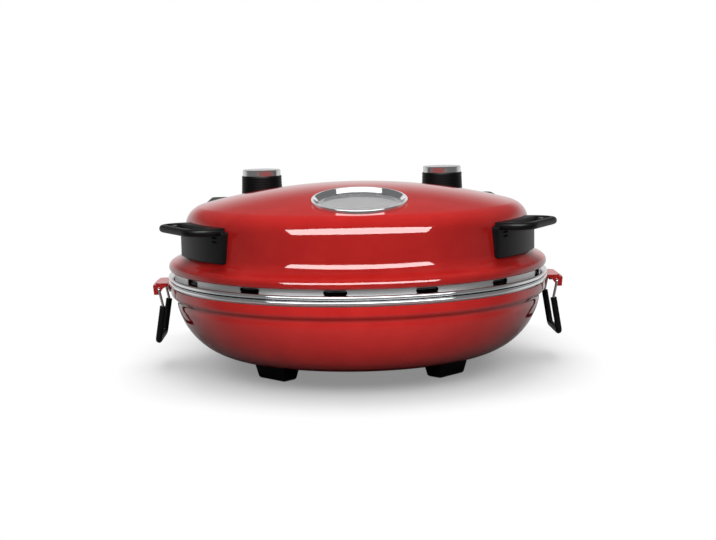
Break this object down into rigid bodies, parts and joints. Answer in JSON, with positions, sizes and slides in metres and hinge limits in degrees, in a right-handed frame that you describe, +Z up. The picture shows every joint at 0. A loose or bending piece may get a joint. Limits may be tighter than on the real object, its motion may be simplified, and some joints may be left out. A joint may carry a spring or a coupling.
{
  "type": "electric pizza maker",
  "caption": "Round countertop electric pizza maker: painted steel bowl on four feet, hinged domed lid with a window, side latches, two loop handles and two control knobs at the back.",
  "frame": {"origin": "on the body's axis at floor level, under the middle of the bowl", "axes": "+Z up, -Y the front away from the hinge, +X to the right seen from the front"},
  "size_m": [0.392, 0.3925, 0.1789],
  "materials": {
    "red_enamel": "gloss",
    "bright_chrome": "polished",
    "steel_sheet": "brushed",
    "bright_pan": "satin",
    "black_plastic": "satin",
    "heater_tube": "matte",
    "baking_stone": "matte",
    "window_glass": "clear",
    "gasket_rubber": "matte",
    "ceramic_block": "matte",
    "lead_sleeve": "matte"
  },
  "bodies": {
    "base": {"base_bowl": "red_enamel", "base_rim_ring": "bright_chrome", "lower_pan": "bright_pan", "lower_heater": "heater_tube", "lower_heater_clips": "steel_sheet", "stone_supports": "steel_sheet", "baking_stone": "baking_stone", "foot_front_left": "black_plastic", "foot_front_right": "black_plastic", "foot_rear_left": "black_plastic", "foot_rear_right": "black_plastic", "foot_screws": "steel_sheet", "latch_bracket_left": "red_enamel", "latch_bracket_right": "red_enamel", "bracket_rivets": "steel_sheet", "control_housing": "black_plastic", "housing_cover": "black_plastic", "cover_screws": "steel_sheet", "housing_screws": "steel_sheet", "thermostat_body": "steel_sheet", "timer_body": "steel_sheet", "control_screws": "steel_sheet", "terminal_block": "ceramic_block", "wiring": "lead_sleeve", "cord_gland": "black_plastic", "hinge_bracket": "steel_sheet", "hinge_pin": "bright_chrome", "hinge_screws": "steel_sheet"},
    "lid": {"lid_shell": "red_enamel", "lid_band": "steel_sheet", "lid_rim_ring": "bright_chrome", "lid_liner": "bright_pan", "upper_heater": "heater_tube", "upper_heater_clips": "steel_sheet", "window_bezel": "bright_chrome", "window_glass": "window_glass", "window_gasket": "gasket_rubber", "window_retainer": "steel_sheet", "window_collar": "steel_sheet", "handle_left": "black_plastic", "handle_right": "black_plastic", "handle_screws": "steel_sheet", "hinge_arm": "steel_sheet", "hinge_arm_screws": "steel_sheet"},
    "left_bail": {"latch_bail_left": "bright_chrome", "bail_grip_left": "black_plastic"},
    "right_bail": {"latch_bail_right": "bright_chrome", "bail_grip_right": "black_plastic"},
    "thermostat_dial": {"thermostat_shaft": "steel_sheet", "thermostat_knob": "black_plastic", "thermostat_knob_cap": "bright_chrome"},
    "timer_dial": {"timer_shaft": "steel_sheet", "timer_knob": "black_plastic", "timer_knob_cap": "bright_chrome"}
  },
  "joints": [
    {"name": "lid_hinge", "type": "hinge", "parent": "base", "child": "lid", "pos_m": [0, 0.186, 0.15], "axis": [-1, 0, 0], "range_deg": [0, 100]},
    {"name": "left_bail_swing", "type": "hinge", "parent": "base", "child": "left_bail", "pos_m": [-0.19, 0, 0.078], "axis": [0, 1, 0], "range_deg": [-25, 200]},
    {"name": "right_bail_swing", "type": "hinge", "parent": "base", "child": "right_bail", "pos_m": [0.19, 0, 0.078], "axis": [0, -1, 0], "range_deg": [-25, 200]},
    {"name": "thermostat_turn", "type": "hinge", "parent": "base", "child": "thermostat_dial", "pos_m": [-0.099, 0.178, 0.1481], "axis": [0, 0, -1], "range_deg": [0, 270]},
    {"name": "timer_turn", "type": "hinge", "parent": "base", "child": "timer_dial", "pos_m": [0.099, 0.178, 0.1481], "axis": [0, 0, -1], "range_deg": [0, 300]}
  ]
}
